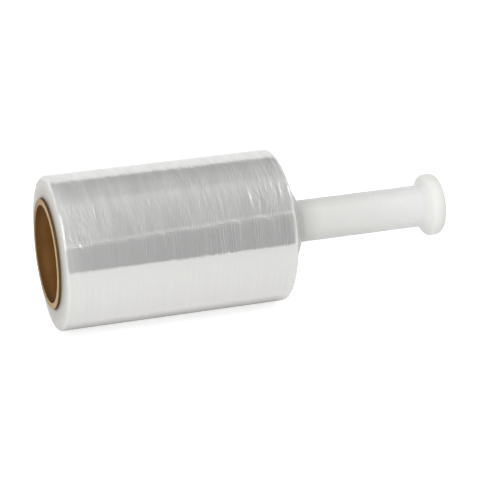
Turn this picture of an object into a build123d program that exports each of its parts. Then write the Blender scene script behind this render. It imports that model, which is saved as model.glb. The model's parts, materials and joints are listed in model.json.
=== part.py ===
from build123d import *
import math
import os

# A hand roll of stretch film. The film is wound on a paperboard core, and the core turns on the
# hub of a one-piece blown plastic handle. Sizes are in millimetres. X runs along the roll towards
# the handle's knob and Z is up. The roll lies on a small flat that its own weight presses into the
# film, and the origin is on that surface, under the middle of the whole object.

# Film
film_width = 127.0
film_build = 12.05  # thickness of the wound film on the core
film_edge_radius = 2.2
flat_width = 12.0  # the flat that the roll lies on
tail_step = 0.25  # height of the free end of the film, a few turns thick
tail_elevation = 30.0  # degrees above level, on the front of the roll
turn_rings = 4  # groups of turns that show on each end of the roll
edge_steps = 3  # groups of turns in each rounded edge
ring_relief = 0.35
relief_phase = 2.4  # radians from ring to ring, which keeps their depths uneven

# Core
core_bore = 52.7
core_wall = 3.5
core_overhang = 1.8  # the core stands out of the film by this much at each end

# Handle
handle_wall = 1.8
handle_reach = 95.7  # from the film's end to the tip of the knob
grip_diameter = 23.3
knob_diameter = 34.6
knob_thickness = 10.4
knob_lean = 25.0  # degrees by which the knob's inner face leans towards its rim
knob_flare_share = 0.45  # of the step from the grip to the knob, where the grip flares out
knob_inner_share = 0.55  # of the same step, in the rounding of the knob's inner edge
knob_outer_share = 0.46  # of the knob's rim, in the rounding of its outer edge
shoulder_diameter = 55.4
shoulder_length = 8.4
shoulder_root_break = 1.2
rim_thickness = 2.3
rim_edge_break = 0.6

# Hub of the handle, inside the core
hub_length = 62.0
hub_clearance = 0.1  # between the bearing lands and the core's bore
seat_gap = 0.2  # between the handle's rim and the end of the core
land_height = 0.8
land_width = 9.0
lead_in_share = 0.75  # of the land's height, where the hub enters the core

# Radii and stations that follow from these
core_radius = core_bore / 2 + core_wall
film_radius = core_radius + film_build
axis_height = math.sqrt(film_radius**2 - (flat_width / 2) ** 2)
total_length = core_overhang + film_width + handle_reach
core_start = -total_length / 2
film_start = core_start + core_overhang
film_end = film_start + film_width
core_end = film_end + core_overhang
knob_end = film_end + handle_reach
on_axis = Pos(0, 0, axis_height)


def relief(index):
    """Depth of a ring of turns, uneven but repeatable, as a winding leaves it."""
    return ring_relief * abs(math.sin(relief_phase * index))


def spiral_section():
    """Cross-section of the film: two half turns on shifted centres, which leave a step at the free end."""
    tail_angle = 180 - tail_elevation
    foot = Vector(film_radius, 0).rotate(Axis.Z, tail_angle)
    tip = Vector(film_radius + tail_step, 0).rotate(Axis.Z, tail_angle)
    shift = (tip - foot) / 2
    inner_middle = Vector(film_radius, 0).rotate(Axis.Z, tail_angle - 90)
    outer_middle = Vector(film_radius + tail_step / 2, 0).rotate(Axis.Z, tail_angle + 90) + shift
    outline = [
        ThreePointArc(-foot, inner_middle, foot),
        Line(foot, tip),
        ThreePointArc(tip, outer_middle, -foot),
    ]
    under = Rectangle(2 * film_radius, 2 * film_radius, align=(Align.CENTER, Align.MAX))
    return make_face(Curve() + outline) - Circle(core_radius) - Pos(0, -axis_height) * under


def end_profile():
    """Half section, with the radius along Y, that trims the film to its ends. The turns lie unevenly in
    rings, and the outermost ones draw back in a rounded edge."""
    inner = core_radius - core_wall
    outer = film_radius + film_edge_radius
    round_foot = film_radius + 2 * tail_step - film_edge_radius
    ring_step = (round_foot - core_radius) / turn_rings
    faces = []
    for end, inward, first_ring in ((film_start, 1, 2), (film_end, -1, 5)):
        face = [(end, inner)]
        for i in range(turn_rings):
            face.append((end + inward * relief(i + first_ring), core_radius + i * ring_step))
        for i in range(edge_steps + 1):
            turned = math.radians(90 * i / edge_steps)
            drawn_back = film_edge_radius * (1 - math.cos(turned))
            face.append((end + inward * drawn_back, round_foot + film_edge_radius * math.sin(turned)))
        face.append((end + inward * film_edge_radius, outer))
        faces.append(face)
    left_face, right_face = faces
    return make_face(Polyline(*left_face, *reversed(right_face), close=True))


def make_film_roll():
    """The spiral section run along the roll and trimmed to its ends."""
    spare = film_edge_radius
    start = Plane.YZ.offset(film_start - spare)
    wound = extrude(start * spiral_section(), film_width + 2 * spare)
    return on_axis * (wound & revolve(end_profile(), Axis.X, 360))


def make_core_tube():
    """Plain paperboard tube, cut square."""
    length = core_end - core_start
    middle = Pos((core_start + core_end) / 2, core_radius - core_wall / 2)
    return on_axis * revolve(middle * Rectangle(length, core_wall), Axis.X, 360)


def make_handle():
    """One blown shell: an open hub, a rim, a conical shoulder, the grip and a rounded knob."""
    land_radius = core_bore / 2 - hub_clearance
    hub_radius = land_radius - land_height
    grip_radius = grip_diameter / 2
    knob_radius = knob_diameter / 2
    rim_radius = shoulder_diameter / 2
    rim_start = core_end + seat_gap
    rim_end = rim_start + rim_thickness
    grip_start = rim_end + shoulder_length
    hub_start = rim_start - hub_length
    knob_start = knob_end - knob_thickness
    knob_step = knob_radius - grip_radius
    knob_rim_start = knob_start + knob_step * math.tan(math.radians(knob_lean))
    knob_flare = knob_flare_share * knob_step
    knob_inner_radius = knob_inner_share * knob_step
    knob_outer_radius = knob_outer_share * (knob_end - knob_rim_start)

    body = make_face(
        Polyline(
            (hub_start, 0),
            (hub_start, hub_radius),
            (rim_start, hub_radius),
            (rim_start, rim_radius),
            (rim_end, rim_radius),
            (grip_start, grip_radius),
            (knob_start, grip_radius),
            (knob_rim_start, knob_radius),
            (knob_end, knob_radius),
            (knob_end, 0),
            close=True,
        )
    )
    rounded = (
        (knob_rim_start, knob_radius, knob_inner_radius),
        (knob_end, knob_radius, knob_outer_radius),
    )
    for x, y, radius in rounded:
        body = fillet(body.vertices().sort_by_distance((x, y))[0], radius)
    broken = (
        (rim_end, rim_radius, rim_edge_break),
        (grip_start, grip_radius, shoulder_root_break),
        (knob_start, grip_radius, knob_flare),
    )
    for x, y, length in broken:
        body = chamfer(body.vertices().sort_by_distance((x, y))[0], length)

    # The hollow follows the outside at the wall's thickness, square to the shoulder's slope
    shoulder_rise = rim_radius - grip_radius
    slope = shoulder_length / shoulder_rise
    wall_along = handle_wall * math.hypot(shoulder_length, shoulder_rise) / shoulder_rise
    hub_hollow = hub_radius - handle_wall
    grip_hollow = grip_radius - handle_wall
    knob_hollow = knob_radius - knob_outer_radius - handle_wall
    hollow = make_face(
        Polyline(
            (hub_start - handle_wall, 0),
            (hub_start - handle_wall, hub_hollow),
            (rim_end + (rim_radius - hub_hollow) * slope - wall_along, hub_hollow),
            (rim_end + (rim_radius - grip_hollow) * slope - wall_along, grip_hollow),
            (knob_start, grip_hollow),
            (knob_end - handle_wall, knob_hollow),
            (knob_end - handle_wall, 0),
            close=True,
        )
    )
    shell = revolve(body - hollow, Axis.X, 360)

    # Each land is rooted in half of the wall under it
    land = Rectangle(land_width, land_height + handle_wall / 2, align=(Align.MIN, Align.MAX))
    lead_in = chamfer(land.vertices().sort_by_distance((0, 0))[0], lead_in_share * land_height)
    shell += revolve(Pos(hub_start, land_radius) * lead_in, Axis.X, 360)
    shell += revolve(Pos(rim_start - land_width, land_radius) * land, Axis.X, 360)
    return on_axis * shell


os.makedirs("parts", exist_ok=True)
export_step(make_film_roll(), "parts/film_roll.step")
export_step(make_core_tube(), "parts/core_tube.step")
export_step(make_handle(), "parts/handle.step")
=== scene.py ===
"""Looks of a hand roll of stretch film on a paperboard core, with its milky plastic handle.

Metres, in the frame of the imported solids: X runs along the roll towards the knob and Z is up.
"""

import json
import math

import bmesh
import bpy
import numpy as np
from mathutils import Matrix, Vector


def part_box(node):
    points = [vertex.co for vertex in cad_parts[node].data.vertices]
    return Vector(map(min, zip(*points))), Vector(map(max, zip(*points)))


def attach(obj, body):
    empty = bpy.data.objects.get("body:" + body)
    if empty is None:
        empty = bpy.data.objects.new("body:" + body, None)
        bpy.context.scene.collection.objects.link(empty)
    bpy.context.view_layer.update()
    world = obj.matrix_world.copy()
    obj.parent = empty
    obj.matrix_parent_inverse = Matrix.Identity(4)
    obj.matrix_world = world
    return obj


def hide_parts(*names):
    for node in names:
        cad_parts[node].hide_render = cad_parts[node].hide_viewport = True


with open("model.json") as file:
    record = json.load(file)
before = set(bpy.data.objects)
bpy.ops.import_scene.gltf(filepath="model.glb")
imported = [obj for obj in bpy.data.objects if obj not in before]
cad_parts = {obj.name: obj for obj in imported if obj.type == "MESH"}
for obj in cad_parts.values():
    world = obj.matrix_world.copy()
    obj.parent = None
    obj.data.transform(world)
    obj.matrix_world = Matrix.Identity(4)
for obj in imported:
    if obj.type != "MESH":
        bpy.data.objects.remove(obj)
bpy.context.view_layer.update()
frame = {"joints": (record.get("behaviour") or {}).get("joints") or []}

FULL_TURN = 2 * math.pi

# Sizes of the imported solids
FILM_LOW, FILM_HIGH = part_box("film_roll")
CORE_LOW, CORE_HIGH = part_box("core_tube")
HANDLE_LOW, HANDLE_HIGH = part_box("handle")
AXIS_Z = frame["joints"][0]["pos_m"][2]
FILM_WIDTH = FILM_HIGH.x - FILM_LOW.x
FILM_RADIUS = FILM_HIGH.y
CORE_RADIUS = CORE_HIGH.y

# Film
FILM_EDGE = 0.0022  # rounding of the film's right edge
LEFT_EDGE = 0.0018  # rounding of its left edge in front of the roll
LEFT_EDGE_TOP = 0.0031  # and on top of the roll, where the turns are slacker
FILM_SINK = 1.9e-4  # the film's side lies this much lower, which leaves room for wrinkles
TAIL_STEP = 0.0003  # height of the film's free end
TAIL_RAMP = 0.0026  # length round the roll over which it rises
TAIL_ELEVATION = 29.5  # degrees above level, at the left end of the film
TAIL_SKEW = 4.4  # degrees more at the right end
SLACK_ANGLE = 4.2  # radians behind the free end over which the film grows tight

# Core
CORE_WALL = 0.0035
CORE_BORE = CORE_RADIUS - CORE_WALL
PLY = 0.00058  # thickness of the board's plies
SPIRAL_PITCH = 0.074  # length along the core of one turn of its spiral seam

# Handle
HANDLE_WALL = 0.0018
GRIP_RADIUS = 0.01165
KNOB_RADIUS = 0.0173
KNOB_THICKNESS = 0.0104
KNOB_LEAN = math.radians(25)
KNOB_OUTER_ROUND = 0.00357
KNOB_INNER_ROUND = 0.0031
KNOB_FLARE_ROUND = 0.005
SHOULDER = 0.0084
SHOULDER_ROOT_ROUND = 0.0025
RIM = 0.0023
RIM_ROUND = 0.0006
RIM_SEAT_ROUND = 0.0003
SEAT_GAP = 0.0002
LAND_WIDTH = 0.009
LAND_HEIGHT = 0.0008
LEAD_IN = 0.0006
HUB_CLEARANCE = 0.0001
HUB_END_BREAK = 0.0003
HOLLOW_BEND_ROUND = 0.002  # at both ends of the shoulder
HOLLOW_FLARE_ROUND = 0.003
HOLLOW_TIP_ROUND = 0.001

# Points of the meshes
FACE_POINTS = 22  # across each end face of the film
EDGE_POINTS = 8  # in each of its rounded edges
SIDE_POINTS = 280  # along its side
TAIL_COLUMNS = 9  # round it, on the ramp of the free end and just past it
FILM_COLUMNS = 283  # and in the rest of the turn
PLY_POINTS = 29  # across each cut end of the core
CORE_COLUMNS = 200
CORE_SPACING = 0.002  # longest step along the core's section
HANDLE_COLUMNS = 144
OUTSIDE_SPACING = 0.0013  # longest step along the handle's section
HOLLOW_SPACING = 0.003  # and inside it
ROUNDING_STEP = math.radians(7)


def polar_mesh(name, x, radius, angle, floor=None):
    """Closed mesh from a grid of points round the roll's axis. Rows follow a closed section and columns go
    round the axis. All three arrays have one value a point. No point goes under the floor's height, if it is
    given."""
    points = np.stack([x, radius * np.cos(angle), AXIS_Z + radius * np.sin(angle)], axis=-1)
    if floor is not None:
        points[..., 2] = np.maximum(points[..., 2], floor)
    rows, columns = x.shape
    index = np.arange(rows * columns).reshape(rows, columns)
    below = np.roll(index, -1, axis=0)
    quads = np.stack([index, np.roll(index, -1, axis=1), np.roll(below, -1, axis=1), below], axis=-1)
    mesh = bpy.data.meshes.new(name)
    mesh.from_pydata(points.reshape(-1, 3).tolist(), [], quads.reshape(-1, 4).tolist())
    mesh.shade_smooth()
    piece = bpy.data.objects.new(name, mesh)
    bpy.context.scene.collection.objects.link(piece)
    return piece


def rounded(corners, spacing):
    """Points of an open half section through corners, each an (x, radius, rounding). Straight stretches get
    a point at every spacing or closer."""
    path = [np.array(corners[0][:2])]
    for before, corner, after in zip(corners, corners[1:], corners[2:]):
        here = np.array(corner[:2])
        rounding = corner[2]
        if rounding == 0:
            path.append(here)
            continue
        come, leave = here - before[:2], after[:2] - here
        come, leave = come / np.linalg.norm(come), leave / np.linalg.norm(leave)
        turn = math.atan2(come[0] * leave[1] - come[1] * leave[0], come @ leave)
        start = here - come * rounding * math.tan(abs(turn) / 2)
        towards = math.copysign(1, turn) * np.array([-come[1], come[0]])
        for share in np.linspace(0, 1, max(4, round(abs(turn) / ROUNDING_STEP))):
            cosine, sine = math.cos(share * turn), math.sin(share * turn)
            spoke = np.array([[cosine, -sine], [sine, cosine]]) @ -towards
            path.append(start + rounding * (towards + spoke))
    path.append(np.array(corners[-1][:2]))
    points = [path[0]]
    for start, end in zip(path, path[1:]):
        count = max(1, math.ceil(np.linalg.norm(end - start) / spacing))
        points += [start + (end - start) * step / count for step in range(1, count + 1)]
    return np.array(points)


def vary(wavelength, rng):
    """A length near a wavelength."""
    return wavelength * rng.uniform(0.7, 1.4)


def phase(rng):
    """A start anywhere in a wave."""
    return rng.uniform(0, 6.3)


def waves(position, wavelengths, rng, count=4):
    """Uneven profile: a few waves near each given wavelength, each with its height."""
    total = np.zeros_like(position)
    for wavelength, height in wavelengths:
        for _ in range(count):
            length = vary(wavelength, rng)
            total += height / count * np.cos(position * FULL_TURN / length + phase(rng))
    return total


def smooth(value, low, high):
    """Smooth step from 0 at the first value to 1 at the second."""
    share = np.clip((value - low) / (high - low), 0, 1)
    return share * share * (3 - 2 * share)


def bell(value, width):
    """1 at zero, falling off on both sides."""
    return np.exp(-((value / width) ** 2))


# Film


def film_section(left_edge, rng):
    """Half section of the wound film from its bore round the outside and back to the bore, for each column
    of the mesh with its rounding of the left edge. The turns lie unevenly on the ends, creep out along the
    core and draw back in a rounded edge outside."""
    rings = ((0.0036, 2.2e-4), (0.0014, 1.2e-4), (0.0008, 6e-5))
    bore_gap = 5e-5
    creep_length, creep_reach = 0.0006, 0.0012
    fading = np.linspace(1, 0, FACE_POINTS)[:, None] ** 0.3
    turned = np.radians(np.linspace(0, 90, EDGE_POINTS + 2))[1:-1, None]
    ends = []
    for edge in (left_edge, np.full_like(left_edge, FILM_EDGE)):
        face_radii = np.linspace(CORE_RADIUS + bore_gap, FILM_RADIUS - edge, FACE_POINTS)
        creep = creep_length * bell(face_radii - CORE_RADIUS, creep_reach)
        depth = np.abs(waves(face_radii, rings, rng)) * fading
        inward = np.concatenate([depth - creep, edge * (1 - np.cos(turned))])
        ends.append((inward, np.concatenate([face_radii, FILM_RADIUS - edge + edge * np.sin(turned)])))
    (left_x, left_radius), (right_x, right_radius) = ends
    side_x = np.linspace(FILM_LOW.x + left_edge, FILM_HIGH.x - FILM_EDGE, SIDE_POINTS)
    x = np.concatenate([FILM_LOW.x + left_x, side_x, FILM_HIGH.x - right_x[::-1]])
    radius = np.concatenate([left_radius, np.full_like(side_x, FILM_RADIUS), right_radius[::-1]])
    return x, radius


def film_looseness(turned):
    """1 on the slack film just above its free end, falling over the back of the roll to nothing."""
    return np.clip(1 - (FULL_TURN - turned) / SLACK_ANGLE, 0, 1)


def winding_bands(x, turned, rng):
    """Height of the bands that the winding leaves round the roll, and of the ripples that cross them, which
    are strongest near both ends of the slack film."""
    height = np.zeros_like(x)
    band_count = 5
    for wavelength, depth in ((0.03, 1.2e-5), (0.011, 3e-6), (0.0045, 4e-6), (0.002, 6e-6)):
        for _ in range(band_count):
            length = vary(wavelength, rng)
            fade = 0.55 + 0.45 * np.cos(turned * rng.integers(1, 6) + phase(rng))
            height += depth / band_count * fade * np.cos(x * FULL_TURN / length + phase(rng))
    near_end = 2.2 * np.exp(-(x - FILM_LOW.x) / 0.018) + np.exp(-(FILM_HIGH.x - x) / 0.02)
    ripple_height = 1.5e-6 + 3e-6 * film_looseness(turned) * near_end
    for wavelength in (0.004, 0.008):
        for _ in range(6):
            length = vary(wavelength, rng)
            count = rng.integers(18, 44) * rng.choice([-1, 1])
            height += ripple_height * np.cos(x * FULL_TURN / length + turned * count + phase(rng))
    return height


def film_wrinkles(rng):
    """Wrinkles, each with its share along the film, radians above the free end, reach round the roll, half
    width, height and lean."""
    wrinkles = [
        (0.821, 0.27, 0.14, 0.001, 4.2e-4, 0),
        (0.962, 0.33, 0.12, 0.0009, 2.4e-4, 0),
        (0.375, 0.41, 0.05, 0.0007, 1.6e-4, 0),
        (0.685, 0.26, 0.09, 0.0008, 1.4e-4, 0),
        (0.62, 0.33, 0.13, 0.0008, 1.4e-4, 0),
        (0.86, 0.32, 0.045, 0.0007, 1.6e-4, 0),
        (0.9, 0.4, 0.16, 0.0009, 1.4e-4, 0),
        (0.885, 0.62, 0.12, 0.0006, 1e-4, 0),
        (0.915, 0.7, 0.15, 0.0005, -1e-4, 0),
        (0.93, 0.5, 0.2, 0.0006, 1.2e-4, 0),
        (0.945, 0.28, 0.15, 0.0005, -1e-4, 0),
        (0.978, 0.65, 0.2, 0.0006, 1.4e-4, 0),
    ]
    # Small ones all over the slack film, most of them at its right and just above the free end
    for _ in range(230):
        share = rng.choice([rng.beta(2.2, 1.0), rng.beta(1.0, 5.0)], p=[0.7, 0.3])
        above = rng.choice([rng.gamma(2.0, 0.3), rng.uniform(0, 3.5)], p=[0.6, 0.4])
        reach = rng.uniform(0.03, 0.12)
        half_width = rng.uniform(0.00045, 0.0008)
        height = 1.2e-5 * np.clip(rng.normal(), -2.3, 2.3) ** 3
        wrinkles.append((share, above, reach, half_width, height, rng.normal(0, 0.004)))
    # The crumple at the left of the free end
    for _ in range(26):
        share = rng.uniform(0.005, 0.07)
        above = rng.normal(0.03, 0.07)
        reach = rng.uniform(0.025, 0.055)
        half_width = rng.uniform(0.0006, 0.0009)
        height = rng.choice([-1, 1]) * 1.9e-4
        wrinkles.append((share, above, reach, half_width, height, rng.normal(-0.018, 0.006)))
    return wrinkles


def film_relief(x, turned, rng):
    """Height of the winding's bands and wrinkles over the film's side. The turned angle starts at the free
    end of the film and goes down the front of the roll."""
    height = winding_bands(x, turned, rng)
    for share, above, reach, half_width, peak, lean in film_wrinkles(rng):
        centre = FILM_LOW.x + FILM_EDGE + share * (FILM_WIDTH - 2 * FILM_EDGE)
        round_from = (FULL_TURN - turned - above + math.pi) % FULL_TURN - math.pi
        bend = lean * round_from + rng.normal(0, 0.02) * round_from**2
        height += peak * bell(x - centre - bend, half_width) * bell(round_from, reach)
    seam = 0.03
    return height * smooth(turned, 0, seam) * smooth(FULL_TURN - turned, 0, seam)


def make_film():
    """The wound film with its free end, wrinkles and ragged edges."""
    rng = np.random.default_rng(11)
    ramp = TAIL_RAMP / FILM_RADIUS
    in_ramp = np.linspace(0, 1.5 * ramp, TAIL_COLUMNS, endpoint=False)
    past_ramp = np.linspace(1.5 * ramp, FULL_TURN, FILM_COLUMNS, endpoint=False)
    turned = np.concatenate([in_ramp, past_ramp])
    height = np.sin(math.pi - math.radians(TAIL_ELEVATION) + turned)
    left_edge = LEFT_EDGE + (LEFT_EDGE_TOP - LEFT_EDGE) * smooth(height, 0.3, 0.95)
    x, radius = film_section(left_edge, rng)
    turned = np.repeat(turned[None], len(x), axis=0)
    share = (x - FILM_LOW.x) / FILM_WIDTH
    outward = (radius - CORE_RADIUS) / (FILM_RADIUS - CORE_RADIUS)
    near_side = np.clip((radius - FILM_RADIUS + FILM_EDGE) / FILM_EDGE, 0, 1)

    # The free end lies a few turns high, loses that height over half a turn and runs a little askew
    step = TAIL_STEP * (1 + 0.2 * waves(share, ((0.1, 1.0),), rng))
    uneven_ramp = ramp * (1 + waves(share, ((0.15, 1.0),), rng))
    lifted = smooth(turned, 0, uneven_ramp) * smooth(turned, 3.1, 0.1)
    wobble = waves(share[:, :1], ((0.25, 0.006), (0.05, 0.003)), rng)
    tail = math.pi - np.radians(TAIL_ELEVATION + TAIL_SKEW * share) + wobble
    clear_of_floor = smooth(1 + np.sin(tail + turned), 0.01, 0.1)
    relief = film_relief(x, turned, rng) * clear_of_floor
    radius = radius + outward * lifted * step + near_side * (relief - FILM_SINK)

    # The edges of the turns lie a little unevenly round both ends
    ragged_height, ragged_reach = 1.3e-4, 0.006
    for end, inward in ((FILM_LOW.x, 1), (FILM_HIGH.x, -1)):
        ragged = np.zeros_like(x)
        for count in (2, 3, 7, 13, 22, 31, 47):
            ragged += ragged_height / count**0.6 * (1 + np.cos(count * turned + phase(rng)))
        x = x + inward * ragged * bell(x - end, ragged_reach) * smooth(outward, 0.2, 0.9)

    piece = polar_mesh("film_wrap", x, radius, tail + turned, floor=0.0)
    # Looseness, and up to 1 more on the edge of the free end, which marks its painted highlight
    loose = np.where(turned < 0.6 * ramp, 1.0, film_looseness(turned))
    loose += smooth(turned, 1.2 * ramp, 0.5 * ramp) + smooth(FULL_TURN - turned, 0.024, 0)
    piece.data.attributes.new("loose", "FLOAT", "POINT").data.foreach_set("value", loose.ravel())
    return piece


# Core


def make_core():
    """Paperboard tube with softened edges, whose plies show as fine ridges on its cut ends."""
    soft = 0.0004
    ridge_height = 6e-5
    left, right = CORE_LOW.x, CORE_HIGH.x
    corners = [
        (0, CORE_BORE, 0),
        (left, CORE_BORE, soft),
        (left, CORE_RADIUS, soft),
        (right, CORE_RADIUS, soft),
        (right, CORE_BORE, soft),
        (0.0005, CORE_BORE, 0),
    ]
    section = rounded(corners, CORE_SPACING)
    faces = np.linspace(CORE_BORE + soft, CORE_RADIUS - soft, PLY_POINTS)
    ridge = ridge_height * (0.5 + 0.5 * np.cos((faces - CORE_BORE) * FULL_TURN / PLY))
    on_left = np.nonzero(section[:, 0] < left + 1e-6)[0]
    on_right = np.nonzero(section[:, 0] > right - 1e-6)[0]
    left_face = np.stack([left + ridge, faces], axis=1)
    right_face = np.stack([right - ridge, faces], axis=1)[::-1]
    section = np.concatenate(
        [
            section[: on_left[0]],
            left_face,
            section[on_left[-1] + 1 : on_right[0]],
            right_face,
            section[on_right[-1] + 1 :],
        ]
    )
    angle = np.linspace(0, FULL_TURN, CORE_COLUMNS, endpoint=False)
    x, angle = np.meshgrid(section[:, 0], angle, indexing="ij")
    radius = np.repeat(section[:, 1:2], x.shape[1], axis=1)
    return polar_mesh("core_board", x, radius, angle)


# Handle


def handle_sections():
    """Half sections of the blown shell: the outside from the knob's middle to the hub's open end, and the
    inside back from there."""
    tip = HANDLE_HIGH.x
    hub_start = HANDLE_LOW.x
    rim_radius = HANDLE_HIGH.y
    rim_start = CORE_HIGH.x + SEAT_GAP
    rim_end = rim_start + RIM
    grip_start = rim_end + SHOULDER
    knob_start = tip - KNOB_THICKNESS
    knob_rim = knob_start + (KNOB_RADIUS - GRIP_RADIUS) * math.tan(KNOB_LEAN)
    land_radius = CORE_BORE - HUB_CLEARANCE
    hub_radius = land_radius - LAND_HEIGHT
    hub_hollow = hub_radius - HANDLE_WALL
    grip_hollow = GRIP_RADIUS - HANDLE_WALL
    knob_hollow = KNOB_RADIUS - KNOB_OUTER_ROUND - HANDLE_WALL
    outside = [
        (tip, 0, 0),
        (tip, KNOB_RADIUS, KNOB_OUTER_ROUND),
        (knob_rim, KNOB_RADIUS, KNOB_INNER_ROUND),
        (knob_start, GRIP_RADIUS, KNOB_FLARE_ROUND),
        (grip_start, GRIP_RADIUS, SHOULDER_ROOT_ROUND),
        (rim_end, rim_radius, RIM_ROUND),
        (rim_start, rim_radius, RIM_SEAT_ROUND),
        (rim_start, land_radius, 0),
        (rim_start - LAND_WIDTH, land_radius, 0),
        (rim_start - LAND_WIDTH, hub_radius, 0),
        (hub_start + LAND_WIDTH, hub_radius, 0),
        (hub_start + LAND_WIDTH, land_radius, 0),
        (hub_start + LEAD_IN, land_radius, 0),
        (hub_start, land_radius - LEAD_IN, 0),
        (hub_start, hub_hollow + HUB_END_BREAK, 0),
    ]

    # The wall keeps its thickness square to the shoulder's slope
    rise = rim_radius - GRIP_RADIUS
    slope = SHOULDER / rise
    wall_along = HANDLE_WALL * math.hypot(SHOULDER, rise) / rise
    inside = [
        (hub_start + HUB_END_BREAK, hub_hollow, 0),
        (rim_end + (rim_radius - hub_hollow) * slope - wall_along, hub_hollow, HOLLOW_BEND_ROUND),
        (rim_end + (rim_radius - grip_hollow) * slope - wall_along, grip_hollow, HOLLOW_BEND_ROUND),
        (knob_start, grip_hollow, HOLLOW_FLARE_ROUND),
        (tip - HANDLE_WALL, knob_hollow, HOLLOW_TIP_ROUND),
        (tip - HANDLE_WALL, 0, 0),
    ]
    return rounded(outside, OUTSIDE_SPACING), rounded(inside, HOLLOW_SPACING)


def make_handle():
    """The shell of the handle, with the fine raised line that the two halves of its mould leave."""
    rng = np.random.default_rng(5)
    outside, inside = handle_sections()
    section = np.concatenate([outside, inside])
    parting = math.radians(104)
    line, line_width = 7e-5, 0.00028
    angle = np.linspace(0, FULL_TURN, HANDLE_COLUMNS, endpoint=False) + parting
    near = np.radians([-1.6, -0.8, 0.8, 1.6])
    angle = np.unique(np.concatenate([angle, parting + near, parting + math.pi + near]))
    x, angle = np.meshgrid(section[:, 0], angle, indexing="ij")
    radius = np.repeat(section[:, 1:2], x.shape[1], axis=1)
    is_outside = np.arange(len(section))[:, None] < len(outside)
    from_line = np.abs((angle - parting + math.pi / 2) % math.pi - math.pi / 2)
    ridge = line * bell(from_line * np.maximum(radius, 0.004), line_width)
    uneven = waves(x, ((0.03, 5e-5), (0.013, 3e-5)), rng) * np.cos(2 * angle)
    uneven = uneven * np.clip(radius / GRIP_RADIUS, 0, 1)
    past_rim = np.clip((x - CORE_HIGH.x - 0.004) / 0.003, 0, 1) * is_outside
    flat_end = np.clip((HANDLE_HIGH.x - x) / 0.001, 0, 1)
    below_rim = smooth(radius, KNOB_RADIUS, KNOB_RADIUS - 0.001)
    radius = radius + past_rim * flat_end * below_rim * (ridge + uneven)
    x = x - line * past_rim * (1 - flat_end) * (1 - ridge / line)
    piece = polar_mesh("handle_moulding", x, radius, angle)

    # Columns that meet in the middle of the knob share one point there
    joined = bmesh.new()
    joined.from_mesh(piece.data)
    bmesh.ops.remove_doubles(joined, verts=joined.verts, dist=1e-7)
    joined.to_mesh(piece.data)
    joined.free()
    return piece


# Materials


def new_material(name, colour):
    """New material of one plain colour, with its node tree and its shader."""
    material = bpy.data.materials.new(name)
    material.use_nodes = True
    material.diffuse_color = (*colour, 1)
    shader = material.node_tree.nodes["Principled BSDF"]
    shader.inputs["Base Color"].default_value = (*colour, 1)
    return material, material.node_tree, shader


def add(tree, kind, inputs=None, **settings):
    """New node with its settings, and its inputs as values or as sockets to link."""
    node = tree.nodes.new(kind)
    for key, value in settings.items():
        setattr(node, key, value)
    for key, value in (inputs or {}).items():
        if isinstance(value, bpy.types.NodeSocket):
            tree.links.new(value, node.inputs[key])
        else:
            node.inputs[key].default_value = value
    return node


def maths(tree, operation, a, b=0.0):
    """Sum, product or the like of numbers or sockets."""
    return add(tree, "ShaderNodeMath", {0: a, 1: b}, operation=operation).outputs[0]


def times(tree, a, b):
    return maths(tree, "MULTIPLY", a, b)


def spread(tree, value, low, high, to_low=0.0, to_high=1.0):
    """Smooth step from one range to another."""
    inputs = {"Value": value, "From Min": low, "From Max": high, "To Min": to_low, "To Max": to_high}
    return add(tree, "ShaderNodeMapRange", inputs, interpolation_type="SMOOTHSTEP").outputs[0]


def contrast(tree, value, to_low=0.0, to_high=1.0):
    """Noise drawn out from its middle range to another."""
    return spread(tree, value, 0.3, 0.7, to_low, to_high)


def mix(tree, share, a, b):
    """Mix of two colours, each a colour or a socket."""
    inputs = {0: share, 6: a, 7: b}
    return add(tree, "ShaderNodeMix", inputs, data_type="RGBA").outputs[2]


def noise(tree, vector, stretch, detail=2.0, roughness=0.5):
    """Noise with its number of waves a metre along each axis."""
    scaled = add(tree, "ShaderNodeVectorMath", {0: vector, 1: stretch}, operation="MULTIPLY")
    inputs = {"Vector": scaled.outputs[0], "Scale": 1.0, "Detail": detail, "Roughness": roughness}
    return add(tree, "ShaderNodeTexNoise", inputs).outputs[0]


def add_bump(tree, shader, height, strength, distance):
    """Relief that is too fine for the mesh."""
    inputs = {"Strength": strength, "Distance": distance, "Height": height}
    bump = add(tree, "ShaderNodeBump", inputs)
    tree.links.new(bump.outputs[0], shader.inputs["Normal"])


def place(tree):
    """The point on the piece and its three coordinates."""
    point = add(tree, "ShaderNodeTexCoord").outputs["Object"]
    return point, add(tree, "ShaderNodeSeparateXYZ", {0: point}).outputs


def round_axis(tree, across, height):
    """Distance from the roll's axis and the angle round it, whose jump is under the roll."""
    rise = maths(tree, "SUBTRACT", height, AXIS_Z)
    squares = maths(tree, "ADD", maths(tree, "POWER", across, 2.0), maths(tree, "POWER", rise, 2.0))
    return maths(tree, "SQRT", squares), maths(tree, "ARCTAN2", across, rise)


def facing_end(tree, low, high):
    """1 where the surface faces along the roll and 0 where it faces away from the axis."""
    normal = add(tree, "ShaderNodeNewGeometry").outputs["Normal"]
    along = add(tree, "ShaderNodeSeparateXYZ", {0: normal}).outputs[0]
    return spread(tree, maths(tree, "ABSOLUTE", along), low, high)


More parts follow.
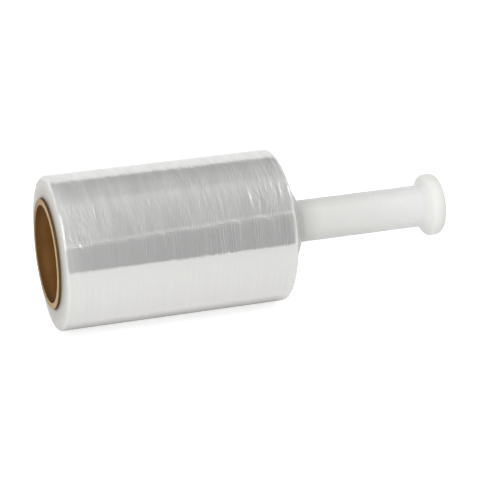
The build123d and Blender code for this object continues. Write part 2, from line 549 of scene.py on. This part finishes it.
def film_material():
    """Many turns of clear film: silvery and glossy on the side, milky on the ends and browner near the core,
    with painted shade beside the core and a painted highlight on the free end."""
    material, tree, shader = new_material("stretch_film", (0.72, 0.722, 0.71))
    point, (along, across, height) = place(tree)
    out, angle = round_axis(tree, across, height)
    face_radius = FILM_RADIUS - FILM_EDGE
    inside = spread(tree, out, face_radius - 0.0012, face_radius - 0.0002, 1.0, 0.0)
    end = maths(tree, "MAXIMUM", facing_end(tree, 0.8, 0.97), inside)
    loose = add(tree, "ShaderNodeAttribute", attribute_name="loose").outputs["Fac"]

    # Crinkles run round the roll and are a few millimetres long; the streaks between them are longer
    drift = times(tree, maths(tree, "SUBTRACT", noise(tree, point, (90, 90, 90)), 0.5), 0.002)
    drifted = maths(tree, "ADD", along, drift)
    round_roll = times(tree, angle, FILM_RADIUS)
    unrolled = add(tree, "ShaderNodeCombineXYZ", {0: drifted, 1: round_roll}).outputs[0]
    crinkles = noise(tree, unrolled, (900, 210, 1), 3.0, 0.55)
    streaks = noise(tree, unrolled, (1100, 16, 1))
    patches = noise(tree, unrolled, (240, 36, 1))
    clouds = noise(tree, point, (45, 45, 45))

    # The side is paler where the film is slack and at its right edge, and a painted highlight lies along the
    # free end
    tight = mix(tree, contrast(tree, streaks), (0.722, 0.732, 0.72, 1), (0.75, 0.758, 0.744, 1))
    slack = mix(tree, contrast(tree, patches), (0.765, 0.765, 0.757, 1), (0.85, 0.85, 0.84, 1))
    side = mix(tree, spread(tree, loose, 0.0, 0.45), tight, slack)
    right_edge = spread(tree, along, FILM_HIGH.x - 0.006, FILM_HIGH.x, 0.0, 0.6)
    side = mix(tree, right_edge, side, (0.82, 0.82, 0.81, 1))
    # Painted highlight along the edge of the free end, broken up by the crinkles
    free_end_highlight = times(tree, contrast(tree, crinkles, 0.5, 1.0), spread(tree, loose, 1.1, 1.9))
    past_left = spread(tree, along, FILM_LOW.x + 0.01, FILM_LOW.x + 0.06, 0.35, 1.0)
    side = mix(tree, times(tree, free_end_highlight, past_left), side, (0.88, 0.88, 0.87, 1))

    # The ends show rings of turns
    ring = add(tree, "ShaderNodeCombineXYZ", {0: out}).outputs[0]
    rings = noise(tree, ring, (1900, 1, 1), 3.0)
    milky = mix(tree, contrast(tree, rings), (0.672, 0.67, 0.637, 1), (0.745, 0.742, 0.708, 1))
    grown = spread(tree, out, CORE_RADIUS, face_radius)
    face = mix(tree, grown, (0.54, 0.52, 0.475, 1), milky)
    # Near the core the face is browner where the core shows through the inner turns, and darker still:
    # painted shade of the gap beside the core
    core_tint_and_gap_shade = spread(tree, out, CORE_RADIUS, CORE_RADIUS + 0.0022)
    face = mix(tree, core_tint_and_gap_shade, (0.15, 0.11, 0.065, 1), face)
    tree.links.new(mix(tree, end, side, face), shader.inputs["Base Color"])

    # The side mirrors the studio, a little less towards its left edge and where it is crinkled
    silvery = spread(tree, along, FILM_LOW.x, FILM_LOW.x + 0.08, 0.515, 0.56)
    left_edge = spread(tree, along, FILM_LOW.x, FILM_LOW.x + 0.012, 0.12, 0.0)
    silvery = maths(tree, "SUBTRACT", silvery, left_edge)
    silvery = times(tree, silvery, spread(tree, end, 0.0, 1.0, 1.0, 0.1))
    tree.links.new(silvery, shader.inputs["Metallic"])
    satin = spread(tree, end, 0.0, 1.0, 0.1, 0.36)
    dulled = times(tree, loose, times(tree, crinkles, 0.09))
    tree.links.new(maths(tree, "ADD", satin, dulled), shader.inputs["Roughness"])
    shader.inputs["IOR"].default_value = 1.5

    crinkled = times(tree, spread(tree, loose, 0.6, 0.95, 0.15, 0.9), contrast(tree, clouds, 0.4, 1.0))
    crinkled = times(tree, crinkled, spread(tree, along, FILM_LOW.x, 0.0, 1.65, 1.15))
    streaked = spread(tree, loose, 0.1, 0.7, 0.42, 0.22)
    relief = maths(tree, "ADD", times(tree, crinkles, crinkled), times(tree, streaks, streaked))
    add_bump(tree, shader, relief, 1.0, 3e-4)
    return material


def board_material():
    """Kraft paperboard: fibres, fine plies on the cut ends and the seam of the spiral winding."""
    material, tree, shader = new_material("kraft_board", (0.25, 0.14, 0.05))
    point, (along, across, height) = place(tree)
    out, angle = round_axis(tree, across, height)
    fibres = noise(tree, point, (420, 1300, 1300), 5.0, 0.6)
    blotches = noise(tree, point, (70, 70, 70), 3.0)
    turns = maths(tree, "ADD", times(tree, angle, 1 / FULL_TURN), times(tree, along, 1 / SPIRAL_PITCH))
    seam = maths(tree, "ABSOLUTE", maths(tree, "SUBTRACT", maths(tree, "FRACT", turns), 0.5))
    joint = spread(tree, seam, 0.0, 0.012, 1.0, 0.0)

    surface = mix(tree, contrast(tree, blotches), (0.205, 0.093, 0.018, 1), (0.275, 0.13, 0.03, 1))
    surface = mix(tree, spread(tree, fibres, 0.35, 0.75, 0.0, 0.4), surface, (0.29, 0.15, 0.05, 1))
    surface = mix(tree, times(tree, joint, 0.6), surface, (0.09, 0.042, 0.012, 1))
    # Painted shade just inside the open end of the bore
    mouth_shade = spread(tree, along, CORE_LOW.x, CORE_LOW.x + 0.0055, 0.7, 0.0)
    surface = mix(tree, mouth_shade, surface, (0.07, 0.028, 0.006, 1))
    # The core's outside, where it stands out of the film, is painted dark: painted shade of the gap between
    # core and film
    outer_wall_shade = spread(tree, out, CORE_RADIUS - 0.0006, CORE_RADIUS - 0.0002)
    surface = mix(tree, outer_wall_shade, surface, (0.1, 0.062, 0.025, 1))

    plies = maths(tree, "SINE", times(tree, out, FULL_TURN / PLY))
    cut = mix(tree, spread(tree, plies, -1.0, 1.0), (0.525, 0.358, 0.19, 1), (0.635, 0.448, 0.26, 1))
    # The cut end darkens towards its far side: painted shade
    far_side_shade = spread(tree, across, -0.012, 0.026, 0.0, 0.55)
    cut = mix(tree, far_side_shade, cut, (0.31, 0.215, 0.12, 1))
    tree.links.new(mix(tree, facing_end(tree, 0.5, 0.9), surface, cut), shader.inputs["Base Color"])
    shader.inputs["Roughness"].default_value = 0.82
    add_bump(tree, shader, maths(tree, "SUBTRACT", fibres, joint), 0.5, 8e-5)
    return material


def plastic_material():
    """Natural polyethylene: milky, softly lit through, with a satin skin and faint flow marks."""
    material, tree, shader = new_material("milky_plastic", (0.84, 0.845, 0.815))
    point, (along, _, _) = place(tree)
    flow = noise(tree, point, (60, 150, 150), 3.0)
    skin = noise(tree, point, (900, 900, 900))
    # Painted shade on the handle's root beside the roll's end, partly the dark core showing through the thin
    # milky wall
    past_root_shade = spread(tree, along, CORE_HIGH.x + 0.0035, CORE_HIGH.x + 0.0235)
    tone = mix(tree, past_root_shade, (0.5, 0.5, 0.478, 1), (0.785, 0.788, 0.75, 1))
    # Painted light: the plastic is made lighter towards the knob
    knob_painted_light = spread(tree, along, HANDLE_HIGH.x - 0.05, HANDLE_HIGH.x - 0.008)
    tone = mix(tree, knob_painted_light, tone, (0.86, 0.861, 0.838, 1))
    # Painted shade on the end of the knob
    tip_painted_shade = spread(tree, along, HANDLE_HIGH.x - 0.006, HANDLE_HIGH.x - 0.002)
    tone = mix(tree, tip_painted_shade, tone, (0.8, 0.802, 0.788, 1))
    tone = mix(tree, contrast(tree, flow, 0.0, 0.05), tone, (0.9, 0.9, 0.88, 1))
    tree.links.new(tone, shader.inputs["Base Color"])
    tree.links.new(spread(tree, skin, 0.2, 0.8, 0.26, 0.36), shader.inputs["Roughness"])
    shader.inputs["Specular IOR Level"].default_value = 0.45
    shader.inputs["Subsurface Weight"].default_value = 0.65
    shader.inputs["Subsurface Radius"].default_value = (1.0, 0.95, 0.8)
    shader.inputs["Subsurface Scale"].default_value = 0.004
    shader.inputs["IOR"].default_value = 1.54
    add_bump(tree, shader, skin, 0.25, 3e-5)
    return material


# The object

dressed = (
    (make_film(), "film_roll", "roll", "film", film_material()),
    (make_core(), "core_tube", "roll", "paperboard", board_material()),
    (make_handle(), "handle", "handle", "milky_plastic", plastic_material()),
)
for piece, node_name, body, slot, material in dressed:
    piece.data.materials.append(material)
    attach(piece, body)
    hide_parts(node_name)

# The floor is a pale table that ends in front of the roll, and the film mirrors that edge

FLOOR_FRONT, FLOOR_BACK, FLOOR_SIDE = -0.38, 3.0, 2.5
FLOOR_GLOW = 0.66  # added to the floor's own light, which makes it white round the roll's shadow
FLOOR_MIRRORED = (1, 0.97, 0.963, 1)  # colour of the floor in what the film mirrors


def floor_material():
    """White round the roll's shadow. What the roll mirrors of it is lit evenly, darker where the two touch
    and a little darker towards the front."""
    material, tree, shader = new_material("pale_floor", (0.75, 0.75, 0.75))
    shader.inputs["Roughness"].default_value = 0.9
    shader.inputs["Specular IOR Level"].default_value = 0.0
    shader.inputs["Emission Color"].default_value = (1, 1, 1, 1)
    path = add(tree, "ShaderNodeLightPath").outputs
    tree.links.new(times(tree, path["Is Camera Ray"], FLOOR_GLOW), shader.inputs["Emission Strength"])
    mirrored = maths(tree, "MAXIMUM", path["Is Glossy Ray"], path["Is Transmission Ray"])
    contact = add(tree, "ShaderNodeAmbientOcclusion", {"Color": FLOOR_MIRRORED, "Distance": 0.008})
    near_roll = mix(tree, 0.25, contact.outputs["Color"], FLOOR_MIRRORED)
    _, (_, across, _) = place(tree)
    level = spread(tree, across, -0.22, -0.045, 0.92, 1.0)
    lit = add(tree, "ShaderNodeEmission", {"Color": near_roll, "Strength": level}).outputs[0]
    either = add(tree, "ShaderNodeMixShader", {0: mirrored, 1: shader.outputs[0], 2: lit}).outputs[0]
    tree.links.new(either, tree.nodes["Material Output"].inputs["Surface"])
    return material


floor_corners = [
    (-FLOOR_SIDE, FLOOR_FRONT, 0),
    (FLOOR_SIDE, FLOOR_FRONT, 0),
    (FLOOR_SIDE, FLOOR_BACK, 0),
    (-FLOOR_SIDE, FLOOR_BACK, 0),
]
floor_mesh = bpy.data.meshes.new("floor")
floor_mesh.from_pydata(floor_corners, [], [(0, 1, 2, 3)])
floor_mesh.materials.append(floor_material())
floor = bpy.data.objects.new("floor", floor_mesh)
bpy.context.scene.collection.objects.link(floor)

# Studio light: the film mirrors the world, whose level follows the degrees round the roll, from level in
# front over the top. Whiter panels stand at both sides, by the part of a direction that runs along the roll

STUDIO = (
    (-180, 0.95),
    (-20, 0.95),
    (-15, 0.02),
    (20, 0.02),
    (45, 0.105),
    (60, 0.15),
    (80, 0.28),
    (93, 0.39),
    (98, 0.37),
    (103, 0.21),
    (122, 0.21),
    (127, 0.175),
    (147, 0.155),
    (151, 0.96),
    (180, 0.96),
)
SIDES = (
    (-1, 0.85),
    (-0.88, 0.7),
    (-0.72, 0.12),
    (-0.3, 0.05),
    (-0.1, 0),
    (0.18, 0.05),
    (0.22, 0.06),
    (0.26, 0.015),
    (0.29, 0.055),
    (0.38, 0.24),
    (0.6, 0.7),
    (1, 0.6),
)
PANEL = (0.95, 0.95, 0.95, 1)
WHITE = (1, 1, 1, 1)


def level_ramp(tree, value, levels):
    """Grey level by a value, through (value, level) stops."""
    low, high = levels[0][0], levels[-1][0]
    share = add(tree, "ShaderNodeMapRange", {"Value": value, "From Min": low, "From Max": high}).outputs[0]
    ramp = add(tree, "ShaderNodeValToRGB", {0: share})
    stops = ramp.color_ramp.elements
    while len(stops) < len(levels):
        stops.new(1.0)
    for stop, (at, level) in zip(stops, levels):
        stop.position = (at - low) / (high - low)
        stop.color = (level, level, level, 1)
    return ramp.outputs[0]


def make_world():
    """The studio round the roll, which is white to the camera."""
    world = bpy.data.worlds.new("studio")
    bpy.context.scene.world = world
    world.use_nodes = True
    tree = world.node_tree
    towards = add(tree, "ShaderNodeTexCoord").outputs["Generated"]
    along, across, height = add(tree, "ShaderNodeSeparateXYZ", {0: towards}).outputs
    round_roll = maths(tree, "ARCTAN2", height, times(tree, across, -1.0))
    round_roll = times(tree, round_roll, 180 / math.pi)
    studio = level_ramp(tree, round_roll, STUDIO)
    studio = mix(tree, level_ramp(tree, along, SIDES), studio, PANEL)
    seen = add(tree, "ShaderNodeLightPath").outputs["Is Camera Ray"]
    background = tree.nodes["Background"]
    tree.links.new(mix(tree, seen, studio, WHITE), background.inputs["Color"])


def soft_light(name, place_at, aim, size, watts, mirrored=False, beam=180):
    """Lamp that lights the object, and shows in its gloss only if it is mirrored. Its first size runs along
    the roll, and a beam of fewer degrees keeps its light off what lies beside its aim."""
    data = bpy.data.lights.new(name, "AREA")
    data.shape = "ELLIPSE"
    data.size, data.size_y = size
    data.energy = watts
    data.spread = math.radians(beam)
    lamp = bpy.data.objects.new(name, data)
    ahead = (Vector(aim) - Vector(place_at)).normalized()
    along = (Vector((1, 0, 0)) - ahead.x * ahead).normalized()
    axes = Matrix((along, along.cross(ahead), -ahead)).transposed()
    lamp.matrix_world = Matrix.Translation(place_at) @ axes.to_4x4()
    lamp.visible_camera = False
    lamp.visible_glossy = mirrored
    bpy.context.scene.collection.objects.link(lamp)


ORIGIN = (0, 0, 0)
LEFT_END = (FILM_LOW.x, 0, AXIS_Z)
GRIP = (0.065, 0, AXIS_Z)

make_world()
soft_light("key_light", (-0.3, -0.95, 1.25), ORIGIN, (0.7, 0.7), 7)
soft_light("low_light", (-0.35, -1.6, 0.2), ORIGIN, (0.8, 0.8), 9.4)
soft_light("top_light", (0.1, 0.2, 1.4), ORIGIN, (1.2, 1.2), 3)
soft_light("left_edge_light", (-1.03, -0.05, 0.48), ORIGIN, (0.5, 0.5), 0.8, mirrored=True)
soft_light("end_light", (-0.5, -0.45, 0.2), LEFT_END, (0.25, 0.25), 0.46)
soft_light("right_edge_light", (0.94, -0.02, 0.83), ORIGIN, (0.4, 0.4), 0.8, mirrored=True)
soft_light("handle_light", (0.103, -0.047, 0.155), GRIP, (0.08, 0.03), 0.0003, mirrored=True, beam=30)

# Camera at the photo's viewing angle

AZIMUTH, ELEVATION = math.radians(17.562), math.radians(24.51)
LENS, SENSOR = 155.59, 36  # millimetres
DISTANCE = 1.106
AIM_RIGHT, AIM_UP = 0.1018, 0.00728  # from the middle of the film's left end, in the picture


def place_camera():
    """Camera that looks down at the roll's front and its left end."""
    right = Vector((math.cos(AZIMUTH), -math.sin(AZIMUTH), 0))
    level = math.cos(ELEVATION)
    forward = Vector((math.sin(AZIMUTH) * level, math.cos(AZIMUTH) * level, -math.sin(ELEVATION)))
    up = right.cross(forward)
    data = bpy.data.cameras.new("camera")
    data.sensor_width = SENSOR
    data.lens = LENS
    camera = bpy.data.objects.new("camera", data)
    aim = Vector(LEFT_END) + AIM_RIGHT * right + AIM_UP * up
    axes = Matrix((right, up, -forward)).transposed()
    camera.matrix_world = Matrix.Translation(aim - DISTANCE * forward) @ axes.to_4x4()
    bpy.context.scene.collection.objects.link(camera)
    bpy.context.scene.camera = camera


place_camera()
bpy.context.scene.view_settings.view_transform = "Standard"
